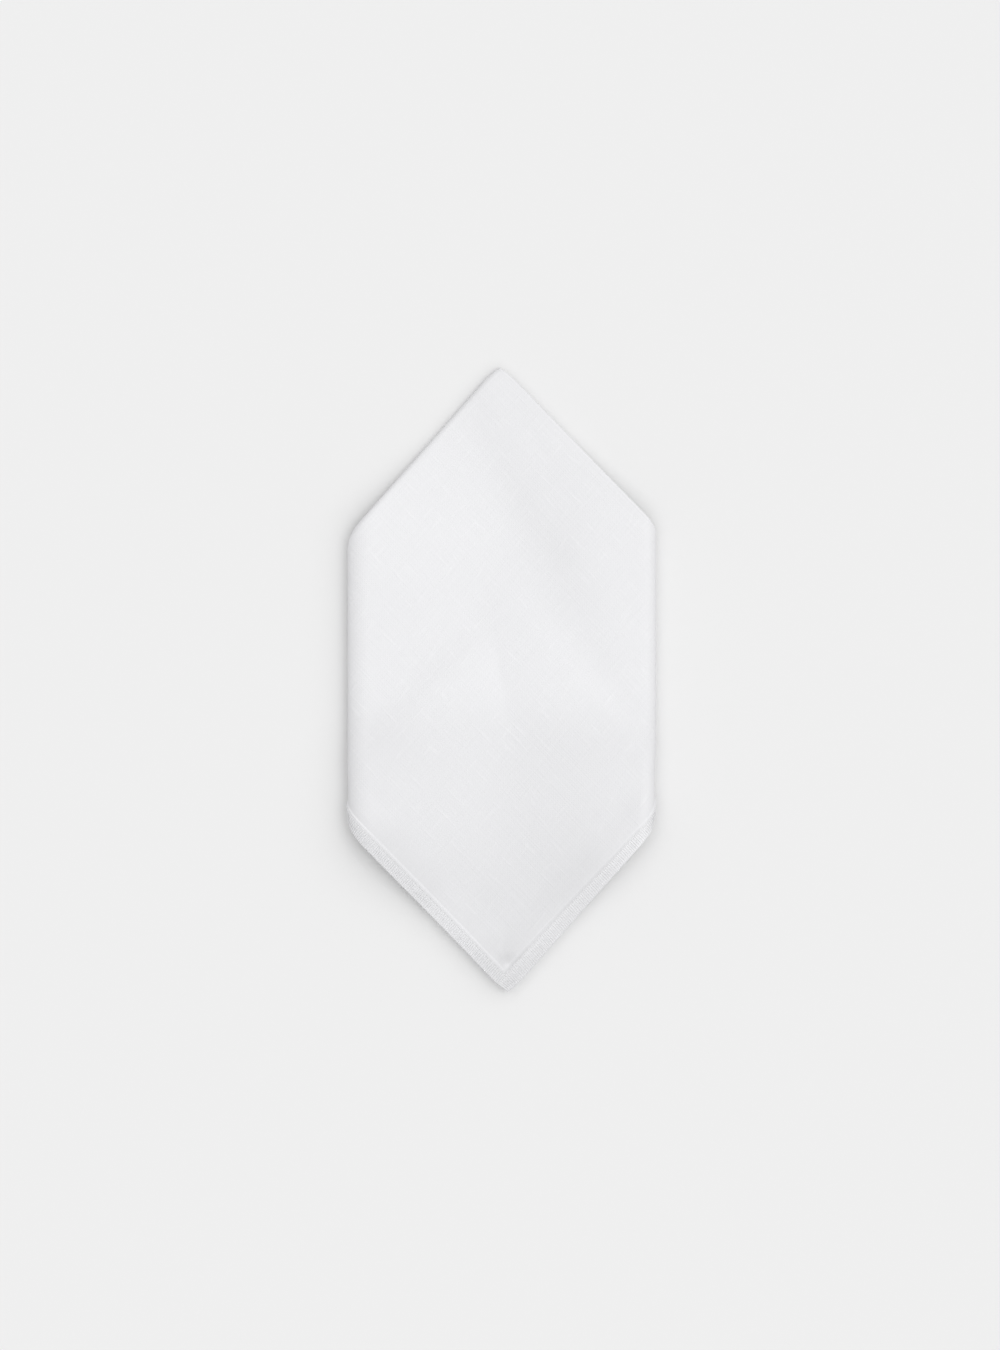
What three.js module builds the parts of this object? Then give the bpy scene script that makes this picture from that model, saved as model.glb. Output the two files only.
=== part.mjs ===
import * as THREE from 'three';

// Linen pocket handkerchief, folded. Millimetres, +Z up, resting on z = 0, +Y towards the folded point.
//
// One square cloth is folded in half twice, which leaves a quarter of four layers: its two upper
// edges are creases and its two lower edges carry the hems. The quarter lies as a diamond, and its
// left and right corners are turned beneath, so the sides are eight layers deep.
// The whole cloth is one solid. A flat slab of it is scored along every crease and then moved through
// the same folds, point by point, so that each layer stays clear of the next.

// Cloth
const PLY = 1.0;             // one layer, thicker than the linen's own half millimetre
const GAP = 0.15;            // air between neighbouring layers
const PITCH = PLY + GAP;     // from one layer to the next
const SIDE_GAP = 0.5;        // air between the upper stack and a corner turned beneath it
const HEM_WIDTH = 5.7;       // turned band along the cut edges at the lower left
const HEM_RISE = 0.4;        // step from the cloth up on to its hem
const STEP_RUN = 0.5;        // width over which the hem steps up
const EASE_RUN = 12;         // cloth beside a hem that bends to meet the thicker stack
const EASE_LINES = [0.3, 0.65, 1];

// The hem at the lower right widens unevenly, from where it comes out of the side fold to the tip.
const RIGHT_HEM = [
  { one: 84, width: 4.8 },
  { one: 165, width: 7.5 },
];

// Quarter as it lies, a slightly skewed square. Angles are taken from the vertical of the view.
const SIDE_LEFT = 166.8;     // apex to left corner, and bottom tip to right corner
const SIDE_RIGHT = 163.2;    // apex to right corner, and bottom tip to left corner
const LEAN_LEFT = THREE.MathUtils.degToRad(41.3);
const LEAN_RIGHT = THREE.MathUtils.degToRad(44.0);
const APEX = { x: -0.89, y: 121.4 };

// Both points of the folded cloth are blunt: each is drawn in towards the middle of the cloth.
const BLUNT = 1.2;
const BLUNT_REACH = 8;
const BLUNT_ROW = APEX.y - 6;

// Stack of four layers
const HALF_STACK = 2 * PLY + GAP;
const STACK = 4 * PLY + 3 * GAP;
const HEM_SWELL = 4 * HEM_RISE;

// Height of each layer's two faces in the open cloth, beside the hem and in the hem.
// The hem is turned on to the face that ends up outside, so layers 1 and 3 thicken downwards.
const LAYER_FACES = [
  { cloth: 0, beside: HEM_RISE, hem: 0 },
  { cloth: PLY, beside: PLY + HEM_RISE, hem: PLY + HEM_RISE },
  { cloth: PITCH, beside: PITCH + HEM_RISE, hem: PITCH + HEM_RISE },
  { cloth: PITCH + PLY, beside: PITCH + PLY + HEM_RISE, hem: PITCH + PLY + 2 * HEM_RISE },
  { cloth: 2 * PITCH, beside: 2 * PITCH + 3 * HEM_RISE, hem: 2 * PITCH + 2 * HEM_RISE },
  { cloth: 2 * PITCH + PLY, beside: 2 * PITCH + PLY + 3 * HEM_RISE, hem: 2 * PITCH + PLY + 3 * HEM_RISE },
  { cloth: 3 * PITCH, beside: 3 * PITCH + 3 * HEM_RISE, hem: 3 * PITCH + 3 * HEM_RISE },
  { cloth: STACK, beside: STACK + 3 * HEM_RISE, hem: STACK + HEM_SWELL },
];

// Creases of the first two folds. The mean radius sets how much cloth goes round.
const CREASE_ONE = { centre: HALF_STACK / 2, mean: PITCH / 2, steps: 2 };
const CREASE_TWO = { centre: STACK / 2, mean: PITCH, steps: 2 };

// Half turn of the side folds. The mean radius again sets how much cloth goes round.
const TURN = { mean: 2.5, steps: 6 };

// Side folds. `line` gives the centre of the fold down the view, drawn in a little at the lower end,
// where the hems make a thicker roll.
const LEFT_FOLD = {
  side: -1,
  line: [
    { y: 70, x: -54.4 },
    { y: -34, x: -54.4 },
    { y: -40, x: -54.2 },
    { y: -45, x: -53.6 },
    { y: -50, x: -53.1 },
    { y: -54, x: -53.0 },
    { y: -76, x: -53.0 },
  ],
};
const RIGHT_FOLD = {
  side: 1,
  line: [
    { y: 70, x: 54.8 },
    { y: -30, x: 54.8 },
    { y: -36, x: 54.6 },
    { y: -41, x: 54.0 },
    { y: -46, x: 53.5 },
    { y: -50, x: 53.4 },
    { y: -76, x: 53.4 },
  ],
};
const FOLDS = [LEFT_FOLD, RIGHT_FOLD];

// An outer layer has further to go round than an inner one, so at the hems its cut edge climbs
// further up the view on its way to the side of the roll.
const CLIMB_TOP = -10;
const CLIMB_RUN = 30;

// More rows across each side fold at which the layers' places or heights change.
const FOLD_ROWS = [60, 62, -10, -22, -58, -62, -66.5];
const ROW_REACH = 8;

// The upper stack comes down from the turned-under corners to the table over this distance.
const DRAPE_RUN = 60;
const DRAPE_LINES = [12, 24, 36, 48, 60];

// Signs of the two flat directions in each quarter of the open cloth
const QUARTERS = [[1, 1], [-1, 1], [-1, -1], [1, -1]];

// Dividing the cloth into triangles
const FINE_SNAP = 0.02;      // points this near a crease or hem line count as on it
const COARSE_SNAP = 0.2;     // the same for the softer lines of the drape
const HALVINGS = 30;         // steps in finding where a line crosses an edge
const TINY = 1e-9;           // area below which three points count as in line
const EDGE_LEEWAY = 0.5;     // distance from the folded cloth that halves the worth of an edge

const LINEN = new THREE.MeshStandardMaterial({ color: 0xf3f3f1, roughness: 0.92, metalness: 0 });

const leftWay = { x: -Math.sin(LEAN_LEFT), y: -Math.cos(LEAN_LEFT) };
const rightWay = { x: Math.sin(LEAN_RIGHT), y: -Math.cos(LEAN_RIGHT) };
const skew = rightWay.x * leftWay.y - leftWay.x * rightWay.y;
const TIP = {
  x: APEX.x + SIDE_LEFT * leftWay.x + SIDE_RIGHT * rightWay.x,
  y: APEX.y + SIDE_LEFT * leftWay.y + SIDE_RIGHT * rightWay.y,
};

// Half sizes of the open cloth: the quarter less what the creases save.
const HALF_ONE = SIDE_LEFT - CREASE_ONE.centre + (Math.PI * CREASE_ONE.mean) / 2;
const HALF_TWO = SIDE_RIGHT - CREASE_TWO.centre + (Math.PI * CREASE_TWO.mean) / 2;

function smooth(t) {
  const k = Math.min(1, Math.max(0, t));
  return k * k * (3 - 2 * k);
}

// Reads column `to` of a table at `value` in column `from`, with straight runs between rows.
function lookUp(table, from, to, value) {
  const up = table[0][from] < table[table.length - 1][from];
  let i = 1;
  while (i < table.length - 1 && (up ? table[i][from] < value : table[i][from] > value)) i += 1;
  const low = table[i - 1];
  const high = table[i];
  const t = Math.min(1, Math.max(0, (value - low[from]) / (high[from] - low[from])));
  return low[to] + t * (high[to] - low[to]);
}

// Bends a stack round a crease at zero, with its negative half beneath. Returns run and height.
function bendAtCrease(crease, along, radius) {
  const turn = Math.min(Math.PI / 2, Math.max(-Math.PI / 2, along / crease.mean));
  const past = Math.max(0, Math.abs(along) - (Math.PI * crease.mean) / 2);
  return {
    run: crease.centre - radius * Math.cos(turn) + past,
    height: crease.centre + radius * Math.sin(turn),
  };
}

// Distances in from the cut edges of the open cloth, evened out so that both hems end at HEM_WIDTH.
function hemDistances(point) {
  const width = lookUp(RIGHT_HEM, 'one', 'width', Math.abs(point.one));
  return {
    one: HALF_ONE - Math.abs(point.one),
    two: HALF_TWO - Math.abs(point.two) + HEM_WIDTH - width,
  };
}

// How far the stack has risen to meet the hems, from 0 in the open cloth to 1 at the hem.
function easeToHem(distance) {
  return smooth(1 - (distance - HEM_WIDTH) / EASE_RUN);
}

// Height of a point of the stack once the hems have spread its layers.
function spreadLayers(height, distance) {
  const ease = easeToHem(distance);
  const onHem = Math.min(1, Math.max(0, (HEM_WIDTH - distance) / STEP_RUN));
  const beside = lookUp(LAYER_FACES, 'cloth', 'beside', height);
  const hem = lookUp(LAYER_FACES, 'cloth', 'hem', height);
  return height + ease * (beside - height) + onHem * (hem - beside);
}

// How far the folded cloth is drawn in near one of its points.
function drawnIn(end, x, y) {
  return BLUNT * (1 - smooth(Math.hypot(x - end.x, y - end.y) / BLUNT_REACH));
}

// Open cloth to the flat quarter: place in the view and height in the four-layer stack.
function foldInQuarters(point, offset) {
  const first = bendAtCrease(CREASE_ONE, point.one, PITCH / 2 + offset);
  const second = bendAtCrease(CREASE_TWO, point.two, first.height + GAP / 2);
  const x = APEX.x + first.run * leftWay.x + second.run * rightWay.x;
  const y = APEX.y + first.run * leftWay.y + second.run * rightWay.y;
  return {
    x,
    y: y - drawnIn(APEX, x, y) + drawnIn(TIP, x, y),
    height: spreadLayers(second.height, Math.min(...Object.values(hemDistances(point)))),
  };
}

// Cloth of the flat quarter that lies beyond a side fold's centre.
function pastFold(fold, place) {
  return fold.side * (place.x - lookUp(fold.line, 'y', 'x', place.y));
}

// Where a point of the view falls in a turned-under corner: in from its hem and from its crease.
function cornerDistances(fold, place) {
  const x = 2 * lookUp(fold.line, 'y', 'x', place.y) - place.x + fold.side * Math.PI * TURN.mean;
  const dx = x - APEX.x;
  const dy = place.y - APEX.y;
  const alongLeft = (rightWay.x * dy - rightWay.y * dx) / skew;
  const alongRight = (leftWay.y * dx - leftWay.x * dy) / skew;
  return fold === LEFT_FOLD
    ? { hem: SIDE_LEFT - alongLeft, crease: alongRight }
    : { hem: SIDE_RIGHT - alongRight, crease: alongLeft };
}

// Distance of a point outside the turned-under corner.
function outsideCorner(inside) {
  return Math.hypot(Math.max(0, -inside.hem), Math.max(0, -inside.crease));
}

// Room a turned-under corner takes beneath the upper stack, and how fully it holds it up there.
function cornerLift(fold, place) {
  const inside = cornerDistances(fold, place);
  const held = 1 - smooth(outsideCorner(inside) / DRAPE_RUN);
  const depth = STACK + SIDE_GAP + HEM_SWELL * easeToHem(Math.max(0, inside.hem));
  return { held, lift: held * depth };
}

function upperLift(place) {
  const left = cornerLift(LEFT_FOLD, place);
  const right = cornerLift(RIGHT_FOLD, place);
  const both = left.held * right.held * Math.max(left.lift, right.lift);
  return left.lift * (1 - right.held) + right.lift * (1 - left.held) + both;
}

// Rise up the view of a layer's cut edge, beyond that of the mean layer, part way round a side fold.
function climb(fold, turn, radius) {
  const out = Math.min(turn, Math.PI / 2);
  const slope = fold === LEFT_FOLD ? 1 / Math.tan(LEAN_RIGHT) : 1 / Math.tan(LEAN_LEFT);
  return smooth(2 - (2 * turn) / Math.PI) * slope * (radius - TURN.mean) * out;
}

// Turns the side corners beneath and sets the stack on the table.
function turnCornersUnder(point, offset) {
  const flat = foldInQuarters(point, offset);
  const fold = pastFold(LEFT_FOLD, flat) > 0 ? LEFT_FOLD : RIGHT_FOLD;
  const past = pastFold(fold, flat);
  if (past <= 0) {
    return [flat.x, flat.y, flat.height + upperLift(flat)];
  }
  const turn = Math.min(Math.PI, past / TURN.mean);
  const back = Math.max(0, past - Math.PI * TURN.mean);
  const radius = flat.height + SIDE_GAP / 2;
  const atHems = smooth((CLIMB_TOP - flat.y) / CLIMB_RUN);
  const centre = { x: flat.x - fold.side * past, y: flat.y + atHems * climb(fold, turn, radius) };
  const x = centre.x + fold.side * (radius * Math.sin(turn) - back);
  const lift = back > 0 ? cornerLift(fold, { x, y: centre.y }).lift : upperLift(centre);
  return [x, centre.y, lift - SIDE_GAP / 2 + radius * Math.cos(turn)];
}

// Point between two others where the measure passes the level.
function crossing(measure, level, from, to) {
  let low = 0;
  let high = 1;
  const rising = measure(to) > measure(from);
  const at = (t) => ({ one: from.one + t * (to.one - from.one), two: from.two + t * (to.two - from.two) });
  for (let n = 0; n < HALVINGS; n += 1) {
    const mid = (low + high) / 2;
    if (measure(at(mid)) > level === rising) high = mid;
    else low = mid;
  }
  return at((low + high) / 2);
}

// The two places where a ring of points passes from one side of a cut to the other.
function dividedAt(ring, side) {
  const size = ring.length;
  const ends = [];
  ring.forEach((i, n) => {
    const before = side[ring[(n + size - 1) % size]];
    if (side[i] !== 0 || before === 0) return;
    let ahead = 1;
    while (side[ring[(n + ahead) % size]] === 0) ahead += 1;
    if (side[ring[(n + ahead) % size]] === -before) ends.push(n);
  });
  return ends;
}

// Cuts the faces of a flat pattern where a measure of its points passes each level.
function score(pattern, measure, levels, snap, within = () => true) {
  for (const level of levels) {
    const side = pattern.points.map((p) => {
      const d = measure(p) - level;
      return Math.abs(d) < snap ? 0 : Math.sign(d);
    });
    const made = new Map();
    pattern.faces = pattern.faces.flatMap((face) => {
      const ring = [];
      face.forEach((i, n) => {
        const j = face[(n + 1) % face.length];
        ring.push(i);
        if (side[i] * side[j] >= 0) return;
        const key = i < j ? `${i} ${j}` : `${j} ${i}`;
        if (!made.has(key)) {
          const ends = [Math.min(i, j), Math.max(i, j)].map((k) => pattern.points[k]);
          const cut = crossing(measure, level, ...ends);
          made.set(key, within(cut) ? pattern.points.push(cut) - 1 : -1);
          if (made.get(key) >= 0) side.push(0);
        }
        if (made.get(key) >= 0) ring.push(made.get(key));
      });
      const ends = dividedAt(ring, side);
      if (ends.length !== 2) return [ring];
      return [ring.slice(ends[0], ends[1] + 1), [...ring.slice(ends[1]), ...ring.slice(0, ends[0] + 1)]];
    });
  }
}

function corner(p, q, r) {
  return (q.one - p.one) * (r.two - p.two) - (q.two - p.two) * (r.one - p.one);
}

// Shape of a triangle, from 0 for a sliver to 1 for an even one.
function evenness(p, q, r) {
  const sides = [[p, q], [q, r], [r, p]].map(([m, n]) => (m.one - n.one) ** 2 + (m.two - n.two) ** 2);
  return (2 * Math.sqrt(3) * corner(p, q, r)) / (sides[0] + sides[1] + sides[2]);
}

// How far the straight edge between two points leaves the folded cloth, over its four quarters.
function edgeError(p, q) {
  const ends = [p, q, { one: (p.one + q.one) / 2, two: (p.two + q.two) / 2 }];
  return Math.max(...QUARTERS.flatMap(([signOne, signTwo]) => [-PLY / 2, PLY / 2].map((offset) => {
    const [from, to, middle] = ends.map((point) => turnCornersUnder(
      { one: signOne * point.one, two: signTwo * point.two }, offset,
    ));
    return Math.hypot(...middle.map((value, axis) => value - (from[axis] + to[axis]) / 2));
  })));
}

// Clips one ear of a face at a time, keeping points along a straight edge. The ear taken is the most
// even one whose new edge stays close to the folded cloth.
function triangles(points, face) {
  const ring = [...face];
  const out = [];
  while (ring.length > 3) {
    const size = ring.length;
    let best = -Infinity;
    let pick = 0;
    ring.forEach((b, n) => {
      const a = ring[(n + size - 1) % size];
      const c = ring[(n + 1) % size];
      const sides = [[a, b], [b, c], [c, a]];
      const rest = ring.filter((i) => !sides[0].includes(i) && i !== c);
      const holds = (i) => sides.every(([p, q]) => corner(points[p], points[q], points[i]) > -TINY);
      const left = ring.filter((i) => i !== b);
      const next = (m) => points[left[m % (size - 1)]];
      const spans = left.some((i, m) => corner(next(m), next(m + 1), next(m + 2)) > TINY);
      const usable = spans && !rest.some(holds);
      const error = edgeError(points[a], points[c]);
      const value = evenness(points[a], points[b], points[c]) / (EDGE_LEEWAY + error);
      if (usable && value > best) {
        best = value;
        pick = n;
      }
    });
    out.push([ring[(pick + size - 1) % size], ring[pick], ring[(pick + 1) % size]]);
    ring.splice(pick, 1);
  }
  out.push(ring);
  return out;
}

function creaseStations(crease) {
  const quarterTurn = (Math.PI * crease.mean) / 2;
  return Array.from({ length: crease.steps }, (_, n) => ((n + 1) * quarterTurn) / crease.steps);
}

// Flat pattern of one quarter of the cloth, scored along all of its folds.
function quarterPattern() {
  const pattern = {
    points: [
      { one: 0, two: 0 },
      { one: HALF_ONE, two: 0 },
      { one: HALF_ONE, two: HALF_TWO },
      { one: 0, two: HALF_TWO },
    ],
    faces: [[0, 1, 2, 3]],
  };
  score(pattern, (p) => p.one, creaseStations(CREASE_ONE), FINE_SNAP);
  score(pattern, (p) => p.two, creaseStations(CREASE_TWO), FINE_SNAP);
  const stepAndEase = [HEM_WIDTH, ...EASE_LINES.map((t) => HEM_WIDTH + t * EASE_RUN)];
  const hemLines = [HEM_WIDTH - STEP_RUN, ...stepAndEase];
  score(pattern, (p) => hemDistances(p).one, hemLines, FINE_SNAP);
  score(pattern, (p) => hemDistances(p).two, hemLines, FINE_SNAP);
  const lie = (p) => foldInQuarters(p, 0);
  score(pattern, (p) => lie(p).y, [BLUNT_ROW], FINE_SNAP);
  for (const fold of FOLDS) {
    const halfTurn = Math.PI * TURN.mean;
    const turns = Array.from({ length: TURN.steps + 1 }, (_, n) => (n * halfTurn) / TURN.steps);
    score(pattern, (p) => pastFold(fold, lie(p)), turns, FINE_SNAP);
    const nearFold = (p) => {
      const past = pastFold(fold, lie(p));
      return past > -ROW_REACH && past < halfTurn + ROW_REACH;
    };
    const rows = [...FOLD_ROWS, ...fold.line.slice(1, -1).map((row) => row.y)];
    score(pattern, (p) => lie(p).y, rows, FINE_SNAP, nearFold);
  }
  const upper = (p) => FOLDS.every((fold) => pastFold(fold, lie(p)) < COARSE_SNAP);
  for (const fold of FOLDS) {
    const inFrom = (name) => (p) => cornerDistances(fold, lie(p))[name];
    const bisector = (p) => inFrom('hem')(p) - inFrom('crease')(p);
    const outside = (p) => outsideCorner(cornerDistances(fold, lie(p)));
    const beyond = (p) => upper(p) && inFrom('hem')(p) < COARSE_SNAP;
    const above = (p) => upper(p) && inFrom('crease')(p) > -COARSE_SNAP;
    score(pattern, inFrom('crease'), [0], COARSE_SNAP, upper);
    score(pattern, inFrom('hem'), [0], COARSE_SNAP, upper);
    score(pattern, bisector, [0], COARSE_SNAP, beyond);
    score(pattern, outside, DRAPE_LINES, COARSE_SNAP, upper);
    score(pattern, inFrom('hem'), stepAndEase, COARSE_SNAP, above);
  }
  return pattern;
}

// Mirrors the quarter pattern into the whole open cloth.
function wholePattern() {
  const quarter = quarterPattern();
  const whole = { points: [], faces: [] };
  const known = new Map();
  const place = (point) => {
    const key = `${point.one.toFixed(4)} ${point.two.toFixed(4)}`;
    if (!known.has(key)) known.set(key, whole.points.push(point) - 1);
    return known.get(key);
  };
  const cut = quarter.faces.flatMap((face) => triangles(quarter.points, face));
  for (const [signOne, signTwo] of QUARTERS) {
    for (const face of cut) {
      const ring = face.map((i) => {
        const { one, two } = quarter.points[i];
        return place({ one: signOne * one + 0, two: signTwo * two + 0 });
      });
      whole.faces.push(signOne * signTwo > 0 ? ring : ring.reverse());
    }
  }
  return whole;
}

// Closes the pattern into a slab, folds it and returns its geometry.
function foldedCloth() {
  const { points, faces } = wholePattern();
  const count = points.length;
  const faceOf = (offset) => points.flatMap((point) => turnCornersUnder(point, offset));
  const position = [...faceOf(PLY / 2), ...faceOf(-PLY / 2)];
  const index = [];
  const open = new Map();
  for (const [a, b, c] of faces) {
    index.push(a, b, c, c + count, b + count, a + count);
    for (const [from, to] of [[a, b], [b, c], [c, a]]) {
      if (!open.delete(`${to} ${from}`)) open.set(`${from} ${to}`, [from, to]);
    }
  }
  for (const [from, to] of open.values()) {
    index.push(from, from + count, to + count, from, to + count, to);
  }
  const geometry = new THREE.BufferGeometry();
  geometry.setAttribute('position', new THREE.Float32BufferAttribute(position, 3));
  geometry.setIndex(index);
  geometry.computeBoundingBox();
  const box = geometry.boundingBox;
  geometry.translate(-(box.min.x + box.max.x) / 2, -(box.min.y + box.max.y) / 2, -box.min.z);
  geometry.computeVertexNormals();
  return geometry;
}

const group = new THREE.Group();
group.name = 'folded_linen_handkerchief';
const cloth = new THREE.Mesh(foldedCloth(), LINEN);
cloth.name = 'handkerchief';
group.add(cloth);

export default group;
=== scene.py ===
import logging
import math
from dataclasses import dataclass, field
from enum import Enum

import bpy
import numpy as np
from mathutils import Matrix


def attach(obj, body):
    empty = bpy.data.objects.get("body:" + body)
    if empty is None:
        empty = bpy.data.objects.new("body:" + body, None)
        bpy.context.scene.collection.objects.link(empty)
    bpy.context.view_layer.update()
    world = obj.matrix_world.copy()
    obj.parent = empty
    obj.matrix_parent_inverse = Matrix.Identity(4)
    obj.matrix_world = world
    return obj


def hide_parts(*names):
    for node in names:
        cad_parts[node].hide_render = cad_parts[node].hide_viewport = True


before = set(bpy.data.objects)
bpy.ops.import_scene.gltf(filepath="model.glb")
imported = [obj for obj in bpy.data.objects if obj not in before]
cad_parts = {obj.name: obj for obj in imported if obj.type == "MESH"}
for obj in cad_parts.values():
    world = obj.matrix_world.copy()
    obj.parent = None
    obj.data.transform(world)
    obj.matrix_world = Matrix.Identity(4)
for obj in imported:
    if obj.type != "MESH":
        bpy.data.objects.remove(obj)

# Short names of types
Array = np.ndarray
Pair = tuple[float, float]
Triple = tuple[float, float, float]
Socket = bpy.types.NodeSocket
Tree = bpy.types.NodeTree

LOG = logging.getLogger("folded_handkerchief")
MM = 0.001
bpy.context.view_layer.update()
NODE = "handkerchief"
BODY = "root"
CLOTH_MAP = "cloth"
TURN_STEPS = 24

# The least length that anything is divided by
TINY = 1e-9

# Names of a Map Range node's inputs
RANGE_INPUTS = ("Value", "From Min", "From Max", "To Min", "To Max")

# Numbers of a Mix node's colour sockets, whose names its other sockets share
MIX_FIRST = 6
MIX_SECOND = 7
MIX_RESULT = 2


class Side(Enum):
    """The two side folds, as signs of x."""

    LEFT = -1
    RIGHT = 1


class Face(Enum):
    """The two faces of the cloth, as signs of the offset from its middle."""

    OUTER = 1
    INNER = -1


def smooth(t: Array) -> Array:
    """Ramp that starts and ends level, for t from 0 to 1."""
    k = np.clip(t, 0.0, 1.0)
    return k * k * (3.0 - 2.0 * k)


def add_object(name: str, data: bpy.types.ID) -> bpy.types.Object:
    """Makes an object of its data, and links it to the scene.

    Args:
        name: Name of the object.
        data: Its mesh, lamp or camera.

    Returns:
        The linked object.
    """
    made = bpy.data.objects.new(name, data)
    bpy.context.scene.collection.objects.link(made)
    return made


@dataclass(frozen=True)
class Crease:
    """One of the first two folds: the height of its centre and its mean radius."""

    centre: float
    mean: float

    @property
    def quarter_turn(self) -> float:
        """Cloth that goes round a quarter of the crease."""
        return math.pi * self.mean / 2.0


def turn_along(wide: Array, deep: Array, along: Array) -> Array:
    """Angle reached by going some way round a flattened roll.

    Args:
        wide: Half the roll's reach beyond its centre line.
        deep: Half the roll's height.
        along: Length of cloth from where the roll starts.

    Returns:
        The angle, from 0 on top to pi underneath.
    """
    turn = np.zeros_like(along)
    step = along / TURN_STEPS
    for _ in range(TURN_STEPS):
        middle = turn + step / 2 / np.hypot(wide * np.cos(turn), deep * np.sin(turn))
        turn = turn + step / np.hypot(wide * np.cos(middle), deep * np.sin(middle))
    return np.minimum(turn, math.pi)


def half_round(wide: Array, deep: Array) -> Array:
    """Length of cloth in the half turn of a flattened roll."""
    return math.pi / 2 * (3 * (wide + deep) - np.sqrt((3 * wide + deep) * (wide + 3 * deep)))


@dataclass(frozen=True)
class SideFold:
    """A side fold: rows of y and x up its centre line, and how far its roll is flattened outwards."""

    flatten: float
    line: tuple[Pair, ...]


@dataclass(frozen=True)
class FoldSizes:
    """Sizes of the folded cloth in millimetres, as in the solid but for the side folds' lines."""

    ply: float = 1.0
    gap: float = 0.15
    side_gap: float = 0.5
    hem_width: float = 5.7
    right_hem: tuple[Pair, ...] = ((84.0, 4.8), (165.0, 7.5))
    hem_rise: float = 0.4
    step_run: float = 0.5
    ease_run: float = 12.0
    side_left: float = 166.8
    side_right: float = 163.2
    lean_left: float = math.radians(41.3)
    lean_right: float = math.radians(44.0)
    apex: Pair = (-0.89, 121.4)
    blunt: float = 1.2
    blunt_reach: float = 8.0
    drape_run: float = 60.0
    centring: Pair = (-0.18, 0.179)
    left: SideFold = SideFold(
        flatten=3.3,
        line=(
            (-76.0, -48.5), (-60.0, -48.5), (-56.0, -49.1), (-52.0, -49.7), (-48.5, -49.9),
            (-44.0, -50.0), (-39.5, -50.5), (-35.0, -51.1), (-30.0, -51.3), (70.0, -51.3),
        ),
    )
    right: SideFold = SideFold(
        flatten=0.4,
        line=(
            (-76.0, 51.8), (-58.0, 51.8), (-51.0, 52.4), (-44.5, 52.8), (-40.0, 53.0),
            (-35.5, 53.5), (-31.0, 54.1), (-26.0, 54.35), (70.0, 54.35),
        ),
    )

    @property
    def pitch(self) -> float:
        """Height from one layer to the next."""
        return self.ply + self.gap

    @property
    def stack(self) -> float:
        """Height of four layers."""
        return 4 * self.ply + 3 * self.gap

    @property
    def swell(self) -> float:
        """How much four hems add to the stack."""
        return 4 * self.hem_rise

    @property
    def first(self) -> Crease:
        """Crease along the upper right edge."""
        return Crease((2 * self.ply + self.gap) / 2, self.pitch / 2)

    @property
    def second(self) -> Crease:
        """Crease along the upper left edge."""
        return Crease(self.stack / 2, self.pitch)

    def in_view(self, run_one: Array, run_two: Array) -> tuple[Array, Array]:
        """Places in the view, by runs from the apex.

        Args:
            run_one: Runs down the left-going side.
            run_two: Runs down the right-going side.

        Returns:
            Places across the view and up it.
        """
        x = self.apex[0] - run_one * math.sin(self.lean_left) + run_two * math.sin(self.lean_right)
        y = self.apex[1] - run_one * math.cos(self.lean_left) - run_two * math.cos(self.lean_right)
        return x, y

    @property
    def tip(self) -> Pair:
        """Place of the hemmed point, before it is drawn in."""
        return self.in_view(self.side_left, self.side_right)

    def widening(self, one: Array) -> Array:
        """How much wider than the left hem the right hem is, at places along it."""
        table = np.array(self.right_hem)
        return np.interp(np.abs(one), table[:, 0], table[:, 1]) - self.hem_width

    @property
    def half_one(self) -> float:
        """Half the open cloth, down its left-going side."""
        return self.side_left - self.first.centre + self.first.quarter_turn

    @property
    def half_two(self) -> float:
        """Half the open cloth, down its right-going side."""
        return self.side_right - self.second.centre + self.second.quarter_turn


@dataclass(frozen=True)
class Swell:
    """A soft ridge or trough of the upper face, laid from one point of the view to another.

    Its rise is the height at the middle line, and is below zero for a trough.
    """

    start: Pair
    end: Pair
    width: float
    rise: float

    def height(self, x: Array, y: Array) -> Array:
        """Height of this swell over points of the view.

        Args:
            x: Places across the view, in millimetres.
            y: Places up the view, in millimetres.

        Returns:
            The height that the swell adds at each point.
        """
        run = np.array(self.end) - np.array(self.start)
        from_start = np.stack([x - self.start[0], y - self.start[1]], axis=-1)
        along = np.clip(from_start @ run / (run @ run), 0.0, 1.0)
        away = np.linalg.norm(from_start - along[..., None] * run, axis=-1)
        return self.rise * np.exp(-((away / self.width) ** 2))


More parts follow.
